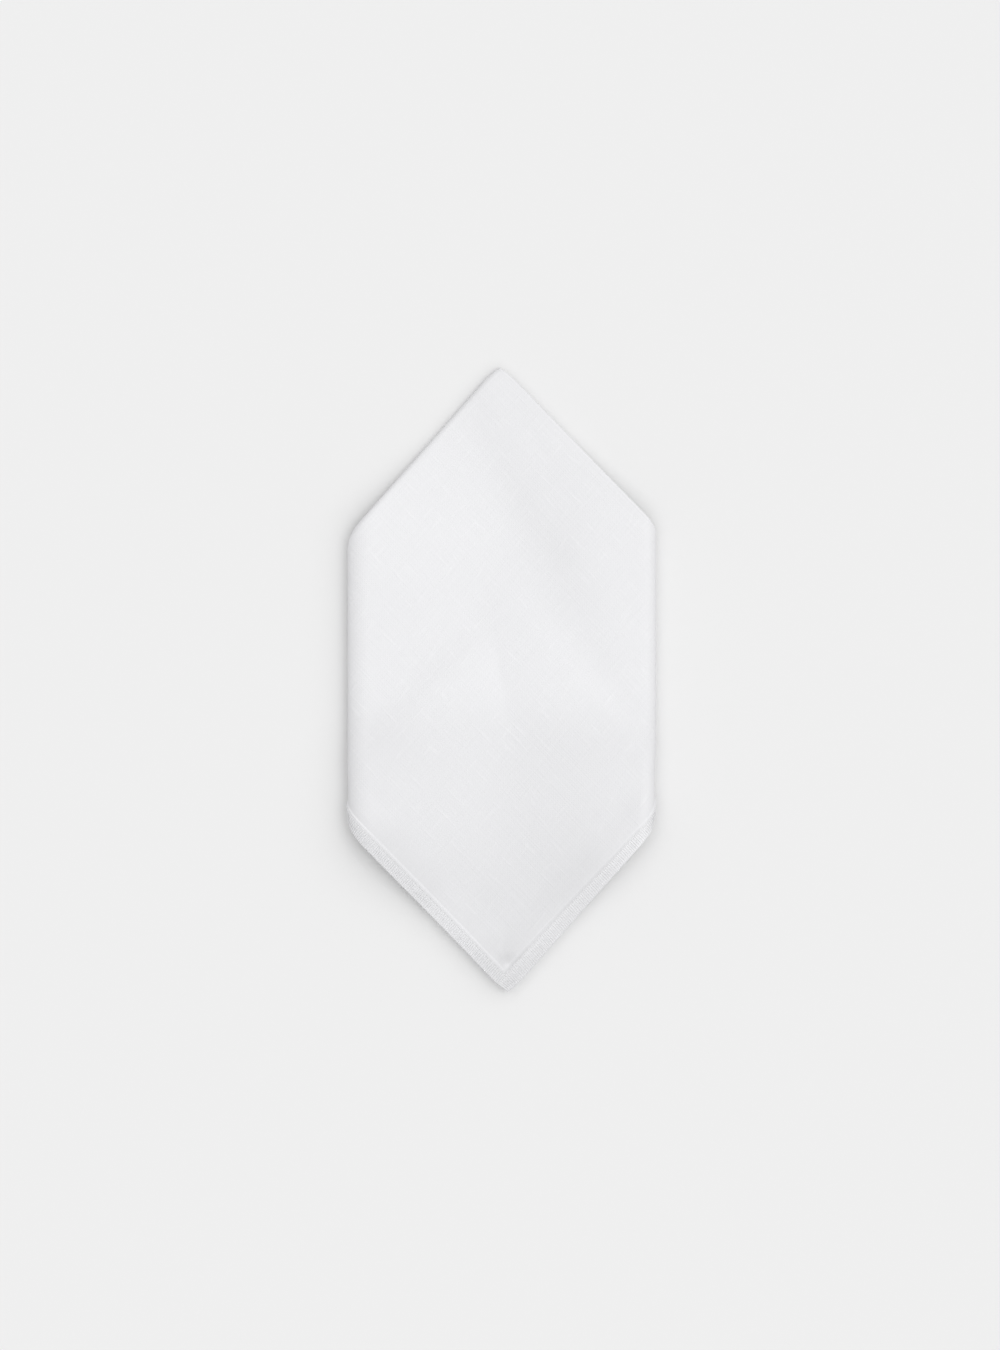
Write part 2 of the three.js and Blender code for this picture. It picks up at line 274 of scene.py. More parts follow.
@dataclass(frozen=True)
class FoldMap:
    """Carries points of the open cloth through its folds, to their places in the folded stack.

    The swells come in with the cloth's height, and are whole from `full_height` up.
    """

    sizes: FoldSizes = field(default_factory=FoldSizes)
    swells: tuple[Swell, ...] = ()
    full_height: float = 9.0

    def _bend(self, crease: Crease, along: Array, radius: Array) -> tuple[Array, Array]:
        """Bends a stack round a crease at zero, with its negative half beneath.

        Args:
            crease: The crease.
            along: Distance from the crease in the open cloth.
            radius: Distance from the crease's centre, up through the stack.

        Returns:
            Run from the edge of the folded stack, and height.
        """
        turn = np.clip(along / crease.mean, -math.pi / 2, math.pi / 2)
        past = np.maximum(0.0, np.abs(along) - crease.quarter_turn)
        return crease.centre - radius * np.cos(turn) + past, crease.centre + radius * np.sin(turn)

    def _ease(self, distance: Array) -> Array:
        """How far the stack has risen to meet its hems, from 0 to 1."""
        return smooth(1.0 - (distance - self.sizes.hem_width) / self.sizes.ease_run)

    def _spread(self, height: Array, distance: Array) -> Array:
        """Spreads the layers of the stack where its hems make it thicker.

        Args:
            height: Height in a stack with no hems.
            distance: Distance in from the nearest cut edge.

        Returns:
            Height in the stack with its hems.
        """
        s = self.sizes
        rise, pitch, ply = s.hem_rise, s.pitch, s.ply
        # Hem rises under each face of the four layers, beside the hem and on it
        cloth = np.array([n * pitch + m * ply for n in range(4) for m in (0, 1)])
        beside = cloth + rise * np.array([1, 1, 1, 1, 3, 3, 3, 3])
        hem = cloth + rise * np.array([0, 1, 1, 2, 2, 3, 3, 4])
        ease = self._ease(distance)
        on_hem = np.clip((s.hem_width - distance) / s.step_run, 0.0, 1.0)
        at_beside = np.interp(height, cloth, beside)
        at_hem = np.interp(height, cloth, hem)
        return height + ease * (at_beside - height) + on_hem * (at_hem - at_beside)

    def _drawn_in(self, end: Pair, x: Array, y: Array) -> Array:
        """How far the cloth is drawn in near one of its two points."""
        s = self.sizes
        return s.blunt * (1.0 - smooth(np.hypot(x - end[0], y - end[1]) / s.blunt_reach))

    def lay_flat(self, one: Array, two: Array, offset: float) -> tuple[Array, ...]:
        """Folds the open cloth twice, into a flat diamond of four layers.

        Args:
            one: Places across the first crease.
            two: Places across the second crease.
            offset: Distance from the middle of the ply.

        Returns:
            Place in the view, x and y, and height in the stack.
        """
        s = self.sizes
        run_one, low = self._bend(s.first, one, s.pitch / 2 + offset)
        run_two, height = self._bend(s.second, two, low + s.gap / 2)
        x, y = s.in_view(run_one, run_two)
        edge = np.minimum(s.half_one - np.abs(one), s.half_two - np.abs(two) - s.widening(one))
        drawn = self._drawn_in(s.tip, x, y) - self._drawn_in(s.apex, x, y)
        return x, y + drawn, self._spread(height, edge)

    def side_fold(self, side: Side) -> SideFold:
        """The fold on one side."""
        return self.sizes.left if side is Side.LEFT else self.sizes.right

    def fold_line(self, side: Side, y: Array) -> Array:
        """Centre of a side fold at places up the view."""
        table = np.array(self.side_fold(side).line)
        return np.interp(y, table[:, 0], table[:, 1])

    def outer_round(self, side: Side) -> float:
        """Cloth that the outermost layer needs to go round a side fold at its hem.

        Args:
            side: Which side fold.

        Returns:
            The length of cloth.
        """
        s = self.sizes
        deep = s.stack - s.ply / 2 + s.side_gap / 2 + s.swell - s.hem_rise / 2
        return float(half_round(deep + self.side_fold(side).flatten, deep))

    def _corner(self, side: Side, x: Array, y: Array) -> tuple[Array, Array]:
        """Room that a turned-under corner takes beneath the upper stack.

        Args:
            side: Which corner.
            x: Places across the view.
            y: Places up the view.

        Returns:
            How fully the corner holds the stack up, from 0 to 1, and its height there.
        """
        s = self.sizes
        sign = side.value
        dx = 2 * self.fold_line(side, y) - x + sign * self.outer_round(side) - s.apex[0]
        dy = y - s.apex[1]
        skew = -math.sin(s.lean_right + s.lean_left)
        along_left = (math.sin(s.lean_right) * dy + math.cos(s.lean_right) * dx) / skew
        along_right = (math.sin(s.lean_left) * dy - math.cos(s.lean_left) * dx) / skew
        if side is Side.LEFT:
            hem, crease = s.side_left - along_left, along_right
        else:
            hem, crease = s.side_right - along_right, along_left
        outside = np.hypot(np.maximum(0.0, -hem), np.maximum(0.0, -crease))
        held = 1.0 - smooth(outside / s.drape_run)
        depth = s.stack + s.side_gap + s.swell * self._ease(np.maximum(0.0, hem))
        return held, held * depth

    def _upper_lift(self, x: Array, y: Array) -> Array:
        """Height at which the upper stack lies over both turned-under corners.

        Args:
            x: Places across the view.
            y: Places up the view.

        Returns:
            The height at each place.
        """
        held_l, lift_l = self._corner(Side.LEFT, x, y)
        held_r, lift_r = self._corner(Side.RIGHT, x, y)
        both = held_l * held_r * np.maximum(lift_l, lift_r)
        return lift_l * (1 - held_r) + lift_r * (1 - held_l) + both

    def place(self, one: Array, two: Array, offset: float) -> Array:
        """Folds points of the open cloth.

        Args:
            one: Places across the first crease, in millimetres.
            two: Places across the second crease, in millimetres.
            offset: Distance from the middle of the ply, in millimetres.

        Returns:
            An array of places in the row frame, in millimetres, one row a point.
        """
        s = self.sizes
        x, y, height = self.lay_flat(one, two, offset)
        middle = self.lay_flat(one, two, 0.0)[2] + s.side_gap / 2
        out = np.stack([x, y, height + self._upper_lift(x, y)], axis=-1)
        for side in Side:
            flatten = self.side_fold(side).flatten
            past = side.value * (x - self.fold_line(side, y))
            turn = turn_along(middle + flatten, middle, np.maximum(0.0, past))
            back = np.maximum(0.0, past - half_round(middle + flatten, middle))
            turn = np.where(back > 0, math.pi, turn)
            deep = height + s.side_gap / 2
            centre = x - side.value * past
            folded = centre + side.value * ((deep + flatten) * np.sin(turn) - back)
            under = self._corner(side, folded, y)[1]
            lift = np.where(back > 0, under, self._upper_lift(centre, y))
            level = lift - s.side_gap / 2 + deep * np.cos(turn)
            beyond = past > 0
            out[..., 0] = np.where(beyond, folded, out[..., 0])
            out[..., 2] = np.where(beyond, level, out[..., 2])
        share = smooth(out[..., 2] / self.full_height)
        for swell in self.swells:
            out[..., 2] += share * swell.height(out[..., 0], out[..., 1])
        out[..., 0] += s.centring[0]
        out[..., 1] += s.centring[1]
        return out


@dataclass(frozen=True)
class MeshSteps:
    """Where the open quarter is divided, in millimetres.

    Columns run down the view. They follow the side folds, less and less over `fade` beside them, and
    are placed in `settling` rounds. Rows are counted from the creased edges, then evenly, then from
    the hemmed edges.
    """

    under: float = 4.2
    upper: float = 2.9
    turning: float = 0.85
    by_apex: tuple[float, ...] = (-1.6, -0.9, -0.45, 0.0, 0.45, 0.95, 1.6)
    from_crease: tuple[float, ...] = (0.0, 0.22, 0.45, 0.68, 0.9, 1.2, 1.5, 1.81)
    from_hem: tuple[float, ...] = (6.5, 5.85, 5.7, 5.55, 5.35, 5.2, 5.0, 4.2, 3.3, 2.3, 1.2, 0.35, 0.0)
    middle_rows: int = 66
    fade: float = 22.0
    settling: int = 14


@dataclass
class FoldedCloth:
    """The one cloth, as a thin closed sheet that goes round all of its folds."""

    fold: FoldMap
    steps: MeshSteps = field(default_factory=MeshSteps)
    thickness: float = 0.66
    edge_bulge: float = 0.16
    edge_margin: float = 0.01
    name: str = "handkerchief_cloth"

    @property
    def settle(self) -> float:
        """How far the thinner sheet comes down to lie on the surface."""
        return (self.fold.sizes.ply - self.thickness) / 2

    def _columns(self) -> tuple[Array, Array]:
        """Divides the quarter across the view.

        Returns:
            Places of the columns relative to the apex, and how far each follows its side fold.
        """
        s, g = self.fold.sizes, self.steps
        left_tip = -s.half_one * math.sin(s.lean_left)
        right_tip = s.half_two * math.sin(s.lean_right)
        left_arc, right_arc = (self.fold.outer_round(side) for side in Side)
        left = s.left.line[-1][1] - s.apex[0]
        right = s.right.line[-1][1] - s.apex[0]
        bottom_tip = left_tip + right_tip

        def spread(start: float, end: float, step: float) -> Array:
            """Even places from a start to an end, about a step apart."""
            return np.linspace(start, end, max(1, round((end - start) / step)) + 1)

        stations = [
            spread(left_tip, left - left_arc, g.under),
            spread(left - left_arc, left, g.turning),
            spread(left, g.by_apex[0], g.upper),
            np.array(g.by_apex),
            spread(g.by_apex[-1], bottom_tip, g.upper),
            spread(bottom_tip, right, g.upper),
            spread(right, right + right_arc, g.turning),
            spread(right + right_arc, right_tip, g.under),
        ]
        columns = np.unique(np.round(np.concatenate(stations), 6))
        follow = np.zeros_like(columns)
        for line, low, high in ((left, left - left_arc, left), (right, right, right + right_arc)):
            away = np.maximum(low - columns, columns - high)
            near = smooth(1.0 - np.maximum(0.0, away) / g.fade)
            follow += near * np.sign(line)
        return columns, follow

    def _quarter(self) -> tuple[Array, Array]:
        """Divides the quarter into columns and rows.

        Returns:
            The two cloth places of its grid points, each as an array of columns by rows.
        """
        s, g = self.fold.sizes, self.steps
        sin_l, sin_r = math.sin(s.lean_left), math.sin(s.lean_right)
        columns, follow = self._columns()
        tip = s.half_two * sin_r - s.half_one * sin_l
        crease_rows = np.array(g.from_crease)
        hem_rows = np.array(g.from_hem)
        count = g.middle_rows
        share = np.arange(1, count + 1) / (count + 1)
        across = np.repeat(columns[:, None], len(crease_rows) + count + len(hem_rows), axis=1)
        base = across.copy()
        for _ in range(g.settling):
            x = np.clip(across, columns[0], columns[-1])
            top_one, top_two = np.maximum(0.0, -x / sin_l), np.maximum(0.0, x / sin_r)
            low_one = np.where(x < tip, s.half_one, (s.half_two * sin_r - x) / sin_l)
            low_two = np.where(x < tip, (x + s.half_one * sin_l) / sin_r, s.half_two)
            run_one = np.maximum(low_one - top_one, 0.0)
            run_two = np.maximum(low_two - top_two, 0.0)
            from_top = np.where(x < 0, run_two, run_one)
            from_low = np.where(x < tip, run_one, run_two)
            first, last = len(crease_rows), len(crease_rows) + count
            at = np.empty_like(x)
            safe_top, safe_low = np.maximum(from_top, TINY), np.maximum(from_low, TINY)
            wider = np.where(x < tip, 0.0, s.widening(low_one))[:, last:]
            hem_at = hem_rows + wider * np.minimum(1.0, hem_rows / s.hem_width)
            hem_limit = np.clip(1.0 - hem_at[:, :1] / safe_low, 0.0, 1.0)
            at[:, :first] = np.minimum(crease_rows / safe_top[:, :first], hem_limit[:, :first])
            at[:, last:] = np.clip(1.0 - hem_at / safe_low[:, last:], 0.0, 1.0)
            start = np.minimum(crease_rows[-1] / safe_top, hem_limit)[:, first:last]
            at[:, first:last] = start + (hem_limit[:, first:last] - start) * share
            at = np.clip(at, 0.0, 1.0)
            one, two = top_one + at * run_one, top_two + at * run_two
            y = s.in_view(one, two)[1]
            left = self.fold.fold_line(Side.LEFT, y) - s.left.line[-1][1]
            right = self.fold.fold_line(Side.RIGHT, y) - s.right.line[-1][1]
            across = base + follow[:, None] * np.where(follow[:, None] < 0, -left, right)
        return one, two

    def _sheet(self) -> tuple[Array, Array, Array]:
        """Joins four quarters into the open cloth.

        Returns:
            The two cloth places of each point, and the corner numbers of each four-sided face.
        """
        one, two = self._quarter()
        columns, rows = one.shape
        grid = np.arange(columns * rows).reshape(columns, rows)
        corners = [grid[:-1, :-1], grid[:-1, 1:], grid[1:, 1:], grid[1:, :-1]]
        cells = np.stack(corners, axis=-1).reshape(-1, 4)
        places, faces = [], []
        for n, (sign_one, sign_two) in enumerate(((1, 1), (-1, 1), (-1, -1), (1, -1))):
            places.append(np.stack([sign_one * one.ravel(), sign_two * two.ravel()], axis=-1))
            turned = cells if sign_one * sign_two > 0 else cells[:, ::-1]
            faces.append(turned + n * columns * rows)
        rounded = np.round(np.concatenate(places), 5) + 0.0
        points, joined = np.unique(rounded, axis=0, return_inverse=True)
        return points[:, 0], points[:, 1], joined.ravel()[np.concatenate(faces)]

    def build(self) -> bpy.types.Object:
        """Builds the closed sheet with its cloth map, and links it to the scene.

        Returns:
            The sheet's object.
        """
        one, two, cells = self._sheet()
        half = self.thickness / 2
        count = len(one)
        polygons = []
        edges: dict[tuple[int, int], None] = {}
        for cell in cells.tolist():
            ring = [v for n, v in enumerate(cell) if v != cell[n - 1]]
            if len(set(ring)) < 3 or len(set(ring)) != len(ring):
                continue
            polygons.append(ring)
            for start, end in zip(ring, ring[1:] + ring[:1]):
                if (end, start) in edges:
                    del edges[(end, start)]
                else:
                    edges[(start, end)] = None
        outer = self.fold.place(one, two, half)
        inner = self.fold.place(one, two, -half)
        rim = sorted({v for edge in edges for v in edge})
        middle = self._rim_middles(one, two, rim)
        first_rim = {v: 2 * count + n for n, v in enumerate(rim)}
        faces = polygons + [[v + count for v in reversed(ring)] for ring in polygons]
        for start, end in edges:
            faces.append([end, start, first_rim[start], first_rim[end]])
            faces.append([first_rim[end], first_rim[start], start + count, end + count])
        places = np.concatenate([outer, inner, middle])
        places[:, 2] -= self.settle
        flat = np.stack([one, two], axis=-1)
        flat = np.concatenate([flat, flat, flat[rim]])
        LOG.info("%s: %d faces", self.name, len(faces))
        return make_mesh(self.name, places * MM, faces, flat * MM)

    def _rim_middles(self, one: Array, two: Array, rim: list[int]) -> Array:
        """Points half way up the turned edge of the hem, a little outside it.

        Args:
            one: Places across the first crease.
            two: Places across the second crease.
            rim: Numbers of the points along the cut edge.

        Returns:
            Folded places of the middle points.
        """
        s = self.fold.sizes
        a, b = one[rim], two[rim]
        inward_a = np.where(np.abs(a) > s.half_one - self.edge_margin, np.sign(a), 0.0)
        inward_b = np.where(np.abs(b) > s.half_two - self.edge_margin, np.sign(b), 0.0)
        here = self.fold.place(a, b, 0.0)
        inside = self.fold.place(a - inward_a, b - inward_b, 0.0)
        out = here - inside
        out /= np.maximum(np.linalg.norm(out, axis=1, keepdims=True), TINY)
        return here + self.edge_bulge * out

    def finish(self, cloth: bpy.types.Object, material: bpy.types.Material) -> None:
        """Args:
            cloth: The sheet's object.
            material: The linen's finish.
        """
        cloth.data.materials.append(material)
        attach(cloth, BODY)
        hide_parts(NODE)


def make_mesh(name: str, places: Array, faces: list[list[int]], flat: Array) -> bpy.types.Object:
    """Makes a smooth mesh object with a map of the open cloth.

    Args:
        name: Name of the piece.
        places: Points in metres, some of which no face may use.
        faces: Corner numbers of each face.
        flat: Place of each point in the open cloth, in metres.

    Returns:
        The linked object.
    """
    used = np.unique(np.concatenate([np.array(f) for f in faces]))
    number = np.full(len(places), -1)
    number[used] = np.arange(len(used))
    mesh = bpy.data.meshes.new(name)
    mesh.from_pydata(places[used].tolist(), [], [[int(number[v]) for v in f] for f in faces])
    mesh.polygons.foreach_set("use_smooth", np.ones(len(mesh.polygons), bool))
    corner = np.zeros(len(mesh.loops), np.int32)
    mesh.loops.foreach_get("vertex_index", corner)
    layer = mesh.uv_layers.new(name=CLOTH_MAP)
    layer.data.foreach_set("uv", flat[used][corner].astype(np.float32).ravel())
    mesh.update()
    return add_object(name, mesh)


def add_sockets(tree: Tree, way: str, kinds: dict[str, str]) -> None:
    """Gives a node tree its named inputs or outputs, each with its kind."""
    for name, kind in kinds.items():
        tree.interface.new_socket(name, in_out=way, socket_type="NodeSocket" + kind)


class Nodes:
    """Adds linked nodes to one node tree."""

    def __init__(self, tree: Tree) -> None:
        """Starts on a tree."""
        self.tree = tree

    def add(self, kind: str, inputs: dict[int | str, object], **settings: object) -> bpy.types.Node:
        """Adds a node.

        Args:
            kind: Blender's name for the kind of node.
            inputs: By name or number, what its inputs are set to or linked from.
            **settings: What its own settings become.

        Returns:
            The node.
        """
        made = self.tree.nodes.new(kind)
        for name, value in settings.items():
            setattr(made, name, value)
        for name, value in inputs.items():
            if isinstance(value, Socket):
                self.tree.links.new(value, made.inputs[name])
            else:
                made.inputs[name].default_value = value
        return made

    def math(self, operation: str, a: object, b: object = 0.0, c: object = 0.0) -> Socket:
        """Works out an operation on up to three numbers or sockets."""
        return self.add("ShaderNodeMath", {0: a, 1: b, 2: c}, operation=operation).outputs[0]

    def ramp(self, value: Socket, start: Pair, end: Pair, kind: str = "SMOOTHSTEP") -> Socket:
        """Carries a value from one range to another, and holds it at both ends."""
        inputs = dict(zip(RANGE_INPUTS, (value, *start, *end)))
        return self.add("ShaderNodeMapRange", inputs, interpolation_type=kind, clamp=True).outputs[0]

    def scaled(self, vector: Socket, factors: Triple) -> Socket:
        """Multiplies a vector, part by part."""
        return self.add("ShaderNodeVectorMath", {0: vector, 1: factors}, operation="MULTIPLY").outputs[0]

    def parts(self, vector: Socket) -> list[Socket]:
        """Splits a vector into its parts."""
        return list(self.add("ShaderNodeSeparateXYZ", {"Vector": vector}).outputs)

    def noise(self, vector: Socket, scale: float, detail: float, rough: float) -> Socket:
        """Adds a noise from 0 to 1, with so many finer patterns of a given strength."""
        inputs = {"Vector": vector, "Scale": scale, "Detail": detail, "Roughness": rough}
        return self.add("ShaderNodeTexNoise", inputs, noise_dimensions="3D").outputs[0]


@dataclass(frozen=True)
class ThreadRun:
    """A row of like stitches along the hem, in millimetres of the open cloth.

    A stitch goes from `start` to `end`, in from the cut edge, and has its `length` along that edge.
    Its middle lies on the cloth's face, and its two ends are `sink` thread radii lower. Along the
    right hem the row stops `corner` short of the cloth's corners.
    """

    name: str
    pitch: float
    start: float
    end: float
    length: float
    points: int
    radius: float
    sink: float
    waver: float
    faces: tuple[Face, ...]
    corner: float = 4.6
    sides: int = 6


@dataclass
class HemSewing:
    """Threads that hold the hem, each a fine tube laid along the folded cloth."""

    cloth: FoldedCloth
    run: ThreadRun
    seed: int = 7

    def _stitch_lines(self) -> list[tuple[Array, Array, Face]]:
        """Places of every stitch in the open cloth.

        Returns:
            For each stitch its two cloth places, point by point, and the face it lies on.
        """
        s, r = self.cloth.fold.sizes, self.run
        random = np.random.default_rng(self.seed)
        lines = []
        across = np.linspace(r.start, r.end, r.points)
        along = np.linspace(-r.length / 2, r.length / 2, r.points)
        for face in r.faces:
            for half, reach, swap in ((s.half_one, s.half_two, False), (s.half_two, s.half_one, True)):
                for sign in (-1, 1):
                    last = reach - (r.corner if swap else max(r.start, r.end))
                    number = int(2 * last / r.pitch)
                    places = (np.arange(number) + 0.5) * 2 * last / number - last
                    for place in places + random.normal(0, r.waver, number):
                        run = place + along
                        wider = s.widening(run) if swap else 0.0
                        inset = across + wider * across / s.hem_width + random.normal(0, r.waver / 2)
                        edge = sign * (half - inset)
                        lines.append((run, edge, face) if swap else (edge, run, face))
        return lines

    def _backbone(self) -> bpy.types.Object:
        """Makes the middle lines of all stitches as bare edges, on the folded cloth's faces.

        Returns:
            The linked object, with no faces.
        """
        r = self.run
        lines = self._stitch_lines()
        one = np.stack([line[0] for line in lines])
        two = np.stack([line[1] for line in lines])
        side = np.array([line[2].value for line in lines])[:, None]
        half = self.cloth.thickness / 2
        outer = self.cloth.fold.place(one, two, half)
        inner = self.cloth.fold.place(one, two, -half)
        through = outer - inner
        through /= np.maximum(np.linalg.norm(through, axis=-1, keepdims=True), TINY)
        bow = np.sin(np.linspace(0, math.pi, r.points))[None, :, None]
        lift = r.radius * (1.0 - r.sink * (1.0 - bow))
        surface = np.where(side[..., None] > 0, outer, inner)
        places = surface + side[..., None] * through * lift
        places[..., 2] = np.maximum(places[..., 2] - self.cloth.settle, r.radius)
        count = len(lines) * r.points
        edges = [(n, n + 1) for n in range(count - 1) if (n + 1) % r.points]
        mesh = bpy.data.meshes.new(r.name + "_lines")
        mesh.from_pydata((places.reshape(-1, 3) * MM).tolist(), edges, [])
        return add_object(r.name, mesh)

    def build(self, tree: Tree, material: bpy.types.Material) -> bpy.types.Object:
        """Winds a thread round every stitch line with Geometry Nodes.

        Args:
            tree: The tree of sewing threads.
            material: The thread's finish.

        Returns:
            A plain mesh piece.
        """
        backbone = self._backbone()
        modifier = backbone.modifiers.new("threads", "NODES")
        modifier.node_group = tree
        wanted = {"Radius": self.run.radius * MM, "Sides": self.run.sides, "Material": material}
        for item in tree.interface.items_tree:
            if item.item_type == "SOCKET" and item.in_out == "INPUT" and item.name in wanted:
                modifier[item.identifier] = wanted[item.name]
        graph = bpy.context.evaluated_depsgraph_get()
        graph.update()
        mesh = bpy.data.meshes.new_from_object(backbone.evaluated_get(graph))
        backbone.modifiers.clear()
        old = backbone.data
        backbone.data = mesh
        bpy.data.meshes.remove(old)
        mesh.name = self.run.name
        mesh.polygons.foreach_set("use_smooth", np.ones(len(mesh.polygons), bool))
        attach(backbone, BODY)
        LOG.info("%s: %d faces", self.run.name, len(mesh.polygons))
        return backbone


def thread_tree() -> Tree:
    """Builds the tree that turns bare edges into closed tubes of thread.

    Returns:
        A tree with inputs for the geometry, the radius, the sides of the tube and its material.
    """
    tree = bpy.data.node_groups.new("Sewing threads", "GeometryNodeTree")
    inputs = {"Geometry": "Geometry", "Radius": "Float", "Sides": "Int", "Material": "Material"}
    add_sockets(tree, "INPUT", inputs)
    add_sockets(tree, "OUTPUT", {"Geometry": "Geometry"})
    nodes = Nodes(tree)
    start = nodes.add("NodeGroupInput", {}).outputs
    line = nodes.add("GeometryNodeMeshToCurve", {"Mesh": start["Geometry"]}).outputs["Curve"]
    sizes = {"Resolution": start["Sides"], "Radius": start["Radius"]}
    circle = nodes.add("GeometryNodeCurvePrimitiveCircle", sizes).outputs["Curve"]
    sweep = {"Curve": line, "Profile Curve": circle, "Fill Caps": True}
    tube = nodes.add("GeometryNodeCurveToMesh", sweep).outputs["Mesh"]
    real = nodes.add("GeometryNodeRealizeInstances", {"Geometry": tube}).outputs["Geometry"]
    painted = {"Geometry": real, "Material": start["Material"]}
    thread = nodes.add("GeometryNodeSetMaterial", painted).outputs["Geometry"]
    nodes.add("NodeGroupOutput", {"Geometry": thread})
    return tree


@dataclass(frozen=True)
class LinenWeave:
    """Plain weave with its slubs and knots, on the open cloth's own places.

    A run is how densely a streak repeats along each way of the cloth.
    """

    drift_scale: float = 45.0
    drift: float = 0.004
    crown: float = 0.35
    crossing: float = 0.5
    slub_runs: tuple[Triple, ...] = ((1900.0, 46.0, 1.0), (52.0, 1750.0, 1.0))
    slub_strength: float = 1.5
    knot_runs: tuple[Triple, ...] = ((620.0, 95.0, 1.0), (110.0, 560.0, 1.0))
    knot_from: float = 0.66
    knot_strength: float = 5.0
    share_of_tone: float = 0.35
    share_of_height: float = 0.5

    def group(self) -> Tree:
        """Builds the weave as a shader group.

        Returns:
            A group with inputs for the cloth place in metres, the yarns to a metre and how uneven the
            yarn is, and outputs for the weave's tone and its height.
        """
        tree = bpy.data.node_groups.new("Linen weave", "ShaderNodeTree")
        inputs = {"Place": "Vector", "Yarns per metre": "Float", "Unevenness": "Float"}
        add_sockets(tree, "INPUT", inputs)
        add_sockets(tree, "OUTPUT", {"Tone": "Float", "Height": "Float"})
        shade = Nodes(tree)
        start = shade.add("NodeGroupInput", {}).outputs
        place = start["Place"]

        wander = shade.noise(place, self.drift_scale, detail=2.0, rough=0.5)
        shifted = shade.math("MULTIPLY", shade.math("SUBTRACT", wander, 0.5), self.drift)
        turn = shade.math("MULTIPLY", start["Yarns per metre"], math.pi)
        yarns = []
        for across in shade.parts(place)[:2]:
            swayed = shade.math("ADD", across, shifted)
            yarns.append(shade.math("SINE", shade.math("MULTIPLY", swayed, turn)))
        over = shade.math("MULTIPLY", shade.math("MULTIPLY", *yarns), self.crossing)
        rounds = shade.math("ADD", *(shade.math("ABSOLUTE", yarn) for yarn in yarns))
        weave = shade.math("ADD", shade.math("MULTIPLY", rounds, self.crown), over)

        slubs = []
        for run in self.slub_runs:
            streak = shade.noise(shade.scaled(place, run), 1.0, detail=1.0, rough=0.4)
            slubs.append(shade.math("SUBTRACT", streak, 0.5))
        knots = []
        for run in self.knot_runs:
            knot = shade.noise(shade.scaled(place, run), 1.0, detail=0.0, rough=0.5)
            strong = shade.math("MAXIMUM", shade.math("SUBTRACT", knot, self.knot_from), 0.0)
            knots.append(shade.math("MULTIPLY", strong, self.knot_strength))
        thickness = shade.math("MULTIPLY", shade.math("ADD", *slubs), self.slub_strength)
        slub = shade.math("ADD", thickness, shade.math("ADD", *knots))

        rough_part = shade.math("MULTIPLY", slub, start["Unevenness"])
        tone = shade.math("ADD", shade.math("MULTIPLY", weave, self.share_of_tone), rough_part)
        height = shade.math("ADD", shade.math("MULTIPLY", weave, self.share_of_height), rough_part)
        shade.add("NodeGroupOutput", {"Tone": tone, "Height": height})
        return tree


class Axis(Enum):
    """Directions over the folded cloth."""

    ACROSS = 0
    ALONG = 1


@dataclass(frozen=True)
class PaintedShadeFade:
    """Soft painted shade over the folded cloth, from a clear line to a full one."""

    axis: Axis
    clear: float
    full: float
    fall: float


@dataclass(frozen=True)
class TroughTone:
    """Soft shade of a slanting trough; `across` is its middle line's place at the cloth's middle."""

    across: float
    slope: float
    half_width: float
    fall: float
    bottom: float
    top: float


@dataclass(frozen=True)
class Spot:
    """Soft round shade over the folded cloth; a fall below zero is a light one."""

    place: Pair
    radius: float
    fall: float
    core: float = 0.0


@dataclass(frozen=True)
class PaintedHemLine:
    """A painted highlight, or painted shade for a tone below zero, along the hem, by its place in from
    the hem's inner edge.
    """

    place: float
    half_width: float
    tone: float
    core: float = 0.0


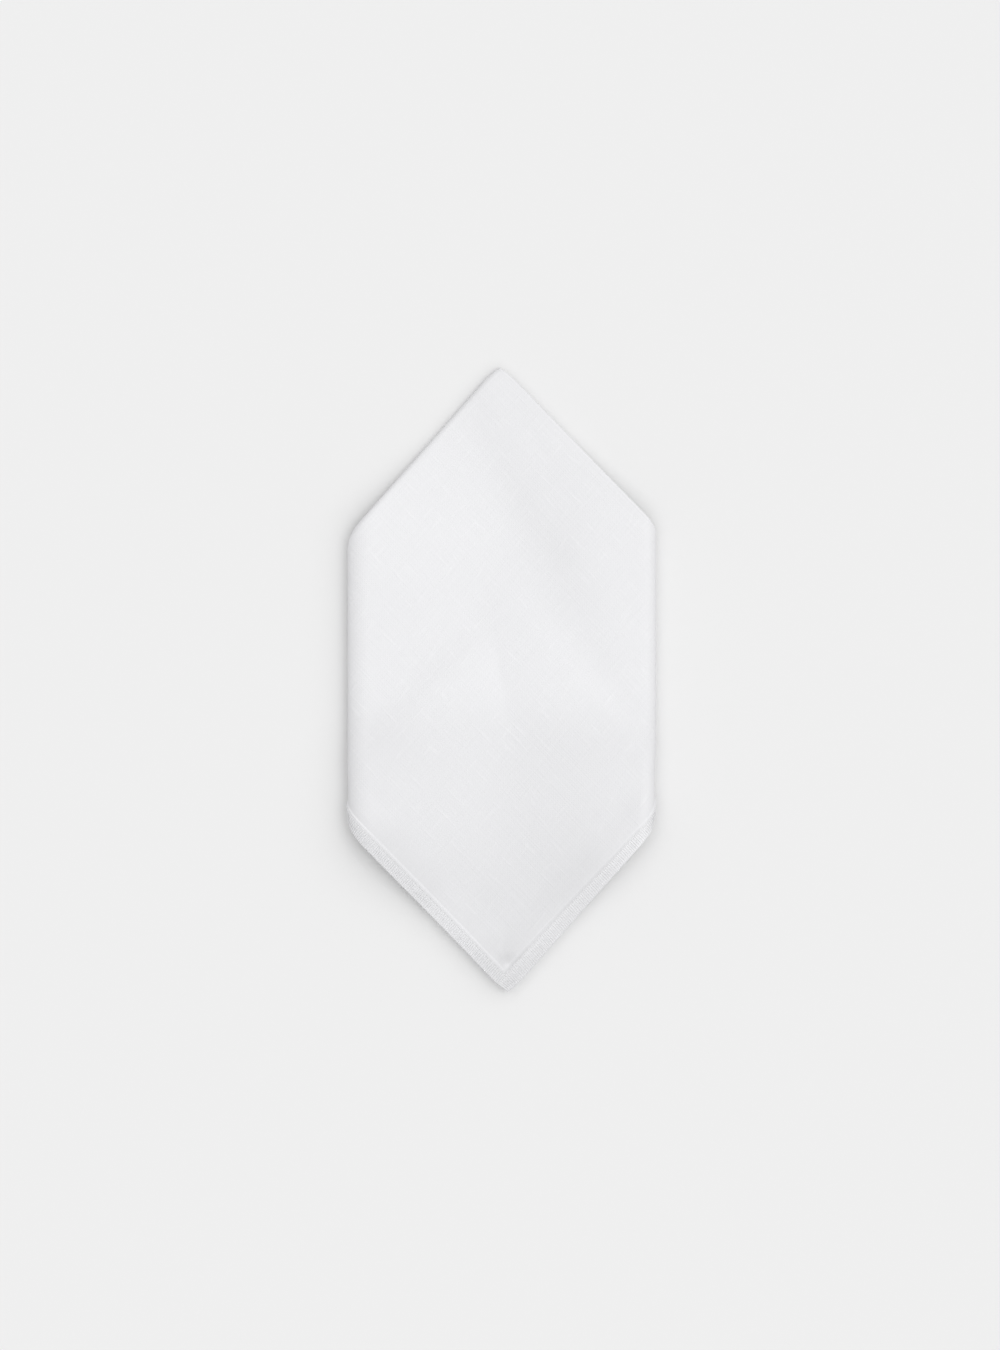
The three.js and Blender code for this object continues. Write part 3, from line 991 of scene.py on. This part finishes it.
@dataclass(frozen=True)
class LinenPaintedShade:
    """Painted highlights and shade of the linen: along its hem, and over the folded cloth."""

    hem: tuple[PaintedHemLine, ...]
    shade_fades: tuple[PaintedShadeFade, ...]
    troughs: tuple[TroughTone, ...]
    spots: tuple[Spot, ...]

    def _inside(self, shade: Nodes, place: Socket, sizes: FoldSizes) -> Socket:
        """Adds the distance in from the hem's inner edge.

        Args:
            shade: The group that is built.
            place: Place in the open cloth.
            sizes: Sizes of the folded cloth.

        Returns:
            The distance, in metres, below zero on the hem.
        """
        one, two = (shade.math("ABSOLUTE", part) for part in shade.parts(place)[:2])
        (near, narrow), (far, wide) = sizes.right_hem
        width = shade.ramp(one, (near * MM, far * MM), (narrow * MM, wide * MM), "LINEAR")
        left = shade.math("SUBTRACT", (sizes.half_one - sizes.hem_width) * MM, one)
        right = shade.math("SUBTRACT", shade.math("SUBTRACT", sizes.half_two * MM, two), width)
        return shade.math("MINIMUM", left, right)

    def group(self, sizes: FoldSizes) -> Tree:
        """Builds the tones as a shader group.

        Args:
            sizes: Sizes of the folded cloth.

        Returns:
            A group with inputs for the cloth place and the folded place in metres and for the strength
            of the painted hem lines, and an output for the share of the colour after painted highlights
            and shade.
        """
        tree = bpy.data.node_groups.new("Linen tones", "ShaderNodeTree")
        add_sockets(tree, "INPUT", {"Place": "Vector", "Folded place": "Vector", "Strength": "Float"})
        add_sockets(tree, "OUTPUT", {"Share": "Float"})
        shade = Nodes(tree)
        start = shade.add("NodeGroupInput", {}).outputs
        inside = self._inside(shade, start["Place"], sizes)
        # Painted highlight and painted shade of the lines along the hem.
        total = 0.0
        for line in self.hem:
            away = shade.math("ABSOLUTE", shade.math("SUBTRACT", inside, line.place * MM))
            reach = (line.core * line.half_width * MM, line.half_width * MM)
            total = shade.math("ADD", total, shade.ramp(away, reach, (line.tone, 0.0)))
        share = shade.math("MULTIPLY_ADD", total, start["Strength"], 1.0)

        # Painted shade over the folded cloth, from its fades, troughs and spots; spots with a fall below
        # zero are painted light.
        folded = shade.parts(start["Folded place"])
        across, along = folded[Axis.ACROSS.value], folded[Axis.ALONG.value]
        for fade in self.shade_fades:
            place = folded[fade.axis.value]
            left_over = shade.ramp(place, (fade.clear * MM, fade.full * MM), (1.0, 1.0 - fade.fall))
            share = shade.math("MULTIPLY", share, left_over)
        for trough in self.troughs:
            middle = shade.math("MULTIPLY_ADD", along, trough.slope, trough.across * MM)
            away = shade.math("ABSOLUTE", shade.math("SUBTRACT", across, middle))
            fall = shade.ramp(away, (0.0, trough.half_width * MM), (trough.fall, 0.0))
            ends = shade.ramp(along, (trough.bottom * MM, trough.top * MM), (0.0, 1.0))
            left_over = shade.math("SUBTRACT", 1.0, shade.math("MULTIPLY", fall, ends))
            share = shade.math("MULTIPLY", share, left_over)
        level = shade.scaled(start["Folded place"], (1.0, 1.0, 0.0))
        for spot in self.spots:
            points = {0: level, 1: (spot.place[0] * MM, spot.place[1] * MM, 0.0)}
            away = shade.add("ShaderNodeVectorMath", points, operation="DISTANCE")
            reach = (spot.core * MM, spot.radius * MM)
            left_over = shade.ramp(away.outputs["Value"], reach, (1.0 - spot.fall, 1.0))
            share = shade.math("MULTIPLY", share, left_over)
        shade.add("NodeGroupOutput", {"Share": share})
        return tree


@dataclass(frozen=True)
class LinenFinish:
    """White linen or its thread, mixed between two colours by its weave and a soft cloud, then scaled by
    painted shade.
    """

    name: str
    colour: Triple
    shadow_colour: Triple
    roughness: float
    sheen: float
    yarns_per_metre: float
    unevenness: float
    bump_height: float
    tone_strength: float
    # Strength of the painted highlights and shade along the hem.
    painted_hem_strength: float = 0.0
    on_cloth_map: bool = False
    cloud_scale: float = 21.0
    cloud_strength: float = 0.5
    sheen_roughness: float = 0.6
    specular: float = 0.25

    def material(self, weave: Tree, painted_shade: Tree) -> bpy.types.Material:
        """Builds the material.

        Args:
            weave: The weave group.
            painted_shade: The group of painted highlights and shade.

        Returns:
            The finished material.
        """
        made = bpy.data.materials.new(self.name)
        made.use_nodes = True
        made.node_tree.nodes.clear()
        shade = Nodes(made.node_tree)
        solid = shade.add("ShaderNodeTexCoord", {}).outputs["Object"]
        place = solid
        if self.on_cloth_map:
            place = shade.add("ShaderNodeUVMap", {}, uv_map=CLOTH_MAP).outputs[0]
        yarn = {
            "Place": place,
            "Yarns per metre": self.yarns_per_metre,
            "Unevenness": self.unevenness,
        }
        woven = shade.add("ShaderNodeGroup", yarn, node_tree=weave).outputs
        cloud = shade.math("SUBTRACT", shade.noise(place, self.cloud_scale, detail=2.0, rough=0.5), 0.5)
        tone = shade.math("MULTIPLY_ADD", woven["Tone"], self.tone_strength, 0.5)
        tone = shade.math("ADD", tone, shade.math("MULTIPLY", cloud, self.cloud_strength))
        colours = {
            "Factor": tone,
            MIX_FIRST: (*self.shadow_colour, 1.0),
            MIX_SECOND: (*self.colour, 1.0),
        }
        mixed = shade.add("ShaderNodeMix", colours, data_type="RGBA", clamp_factor=True)
        # Painted highlights and shade of the hem and the folded cloth, as a share that scales the
        # colour.
        places = {"Place": place, "Folded place": solid, "Strength": self.painted_hem_strength}
        share = shade.add("ShaderNodeGroup", places, node_tree=painted_shade).outputs["Share"]
        product = {0: mixed.outputs[MIX_RESULT], "Scale": share}
        colour_with_painted_shade = shade.add("ShaderNodeVectorMath", product, operation="SCALE").outputs[0]
        relief = {"Strength": 1.0, "Distance": self.bump_height * MM, "Height": woven["Height"]}
        look = {
            "Base Color": colour_with_painted_shade,
            "Normal": shade.add("ShaderNodeBump", relief).outputs[0],
            "Roughness": self.roughness,
            "Sheen Weight": self.sheen,
            "Sheen Roughness": self.sheen_roughness,
            "Specular IOR Level": self.specular,
        }
        surface = shade.add("ShaderNodeBsdfPrincipled", look).outputs[0]
        shade.add("ShaderNodeOutputMaterial", {"Surface": surface})
        return made


@dataclass(frozen=True)
class Lamp:
    """A far lamp, with its direction and apparent width in degrees."""

    name: str
    strength: float
    azimuth: float
    height: float
    width: float

    def build(self) -> None:
        """Makes the lamp and turns it the way it shines."""
        data = bpy.data.lights.new(self.name, "SUN")
        data.energy = self.strength
        data.angle = math.radians(self.width)
        lamp = add_object(self.name, data)
        lamp.rotation_euler = (0.0, math.radians(90.0 - self.height), math.radians(self.azimuth))


@dataclass(frozen=True)
class Studio:
    """Pale floor, soft light and the camera straight above."""

    floor_colour: Triple = (0.80, 0.80, 0.80)
    floor_size: float = 6.0
    sky: float = 0.54
    lamps: tuple[Lamp, ...] = (
        Lamp("key_light", strength=0.30, azimuth=8.0, height=66.0, width=30.0),
        Lamp("softbox", strength=1.486, azimuth=10.0, height=74.0, width=110.0),
    )
    lens: float = 100.0
    frame_height: float = 0.520
    sensor: float = 36.0
    view_reach: float = 10.0
    aim: Pair = (-0.000758, 0.001623)

    def _camera(self) -> None:
        """Places the camera straight above the cloth."""
        data = bpy.data.cameras.new("camera")
        data.lens = self.lens
        data.sensor_width = self.sensor
        data.sensor_fit = "AUTO"
        data.clip_end = self.view_reach
        camera = add_object("camera", data)
        distance = self.lens / self.sensor * self.frame_height
        camera.location = (*self.aim, distance)
        bpy.context.scene.camera = camera

    def _floor(self) -> None:
        """Lays the pale floor that the cloth rests on."""
        half = self.floor_size / 2
        mesh = bpy.data.meshes.new("floor")
        corners = [(-half, -half, 0), (half, -half, 0), (half, half, 0), (-half, half, 0)]
        mesh.from_pydata(corners, [], [(0, 1, 2, 3)])
        floor = add_object("floor", mesh)
        material = bpy.data.materials.new("floor paper")
        material.use_nodes = True
        shader = material.node_tree.nodes["Principled BSDF"]
        shader.inputs["Base Color"].default_value = (*self.floor_colour, 1.0)
        shader.inputs["Roughness"].default_value = 1.0
        shader.inputs["Specular IOR Level"].default_value = 0.0
        mesh.materials.append(material)

    def _lights(self) -> None:
        """Sets an even sky, one wide softbox above and one soft key light."""
        world = bpy.data.worlds.new("studio")
        world.use_nodes = True
        background = world.node_tree.nodes["Background"]
        background.inputs["Color"].default_value = (1.0, 1.0, 1.0, 1.0)
        background.inputs["Strength"].default_value = self.sky
        bpy.context.scene.world = world
        for lamp in self.lamps:
            lamp.build()

    def build(self) -> None:
        """Sets up the whole studio."""
        self._camera()
        self._floor()
        self._lights()
        scene = bpy.context.scene
        scene.view_settings.view_transform = "Standard"
        scene.view_settings.look = "None"
        scene.view_settings.exposure = 0.0
        scene.view_settings.gamma = 1.0


SWELLS = (
    Swell((-0.2, -107.4), (4.2, -107.4), 1.8, -1.3),
    Swell((11.0, 86.0), (29.0, 48.0), 8.0, 0.55),
    Swell((29.0, 48.0), (47.0, 2.0), 9.0, 0.55),
)
# Painted lines along the hem: a painted highlight on its turned inner edge, painted shade in the dimples
# of its stitch line, and a lighter band over the hem, partly its thicker cloth and partly painted light.
PAINTED_HEM_LINES = (
    PaintedHemLine(place=-0.1, half_width=0.7, tone=0.07),
    PaintedHemLine(place=-1.1, half_width=0.7, tone=-0.035),
    PaintedHemLine(place=-3.4, half_width=2.4, tone=0.07, core=0.5),
)
# Painted shade: the cloth darkens from its middle towards its lower point, standing in for light that
# falls off there, and towards the edges of both side rolls, which curve away from the light.
PAINTED_SHADE_FADES = (
    PaintedShadeFade(Axis.ALONG, clear=0.0, full=-26.0, fall=0.04),
    PaintedShadeFade(Axis.ALONG, clear=-40.0, full=-90.0, fall=0.055),
    PaintedShadeFade(Axis.ALONG, clear=-96.0, full=-122.0, fall=0.025),
    PaintedShadeFade(Axis.ACROSS, clear=-50.0, full=-59.0, fall=0.02),
    PaintedShadeFade(Axis.ACROSS, clear=54.0, full=59.0, fall=0.07),
)
SPOTS = (
    Spot((0.6, -106.6), radius=3.6, fall=0.04, core=0.5),
    Spot((3.2, -106.8), radius=3.2, fall=0.04, core=0.5),
    Spot((1.8, -109.9), radius=1.6, fall=-0.07, core=0.3),
    Spot((-44.0, -66.0), radius=16.0, fall=0.05, core=3.0),
    Spot((-31.0, -78.0), radius=15.0, fall=0.04, core=3.0),
    Spot((-1.0, -107.0), radius=13.0, fall=0.03, core=3.0),
    Spot((44.0, -62.0), radius=15.0, fall=-0.025, core=3.0),
)
TROUGH_TONES = (
    TroughTone(across=42.0, slope=-0.3, half_width=22.0, fall=0.024, bottom=-40.0, top=40.0),
    TroughTone(across=35.0, slope=-0.41, half_width=13.0, fall=0.03, bottom=35.0, top=75.0),
)

STITCH_ROW = ThreadRun(
    name="hem_stitches", pitch=1.96, start=4.6, end=4.6, length=1.5, points=4,
    radius=0.14, sink=1.6, waver=0.05, faces=(Face.OUTER, Face.INNER),
)
OVERCAST = ThreadRun(
    name="hem_overcast", pitch=0.91, start=0.15, end=4.4, length=0.0, points=7,
    radius=0.2, sink=0.75, waver=0.02, faces=(Face.OUTER,), corner=0.6,
)

CLOTH_FINISH = LinenFinish(
    name="white linen", colour=(0.826, 0.826, 0.84), shadow_colour=(0.77, 0.77, 0.785),
    roughness=0.9, sheen=0.1, yarns_per_metre=2000.0, unevenness=1.0, bump_height=0.06,
    tone_strength=0.35, painted_hem_strength=1.0, on_cloth_map=True,
)
THREAD_FINISH = LinenFinish(
    name="white sewing thread", colour=(0.915, 0.915, 0.925), shadow_colour=(0.87, 0.87, 0.88),
    roughness=0.7, sheen=0.1, yarns_per_metre=4000.0, unevenness=0.3, bump_height=0.01,
    tone_strength=0.2,
)


def main() -> None:
    """Builds the studio, the folded cloth and its sewing, and reports each piece."""
    logging.basicConfig(level=logging.INFO, format="%(name)s: %(message)s")
    Studio().build()
    fold = FoldMap(swells=SWELLS)
    weave = LinenWeave().group()
    # Painted highlights and shade of the linen's hem and folds.
    painted_shade = LinenPaintedShade(PAINTED_HEM_LINES, PAINTED_SHADE_FADES, TROUGH_TONES, SPOTS).group(fold.sizes)
    linen = CLOTH_FINISH.material(weave, painted_shade)
    thread = THREAD_FINISH.material(weave, painted_shade)
    cloth = FoldedCloth(fold)
    sheet = cloth.build()
    cloth.finish(sheet, linen)
    threads = thread_tree()
    sewing = [HemSewing(cloth, run).build(threads, thread) for run in (STITCH_ROW, OVERCAST)]


if __name__ == "__main__":
    main()
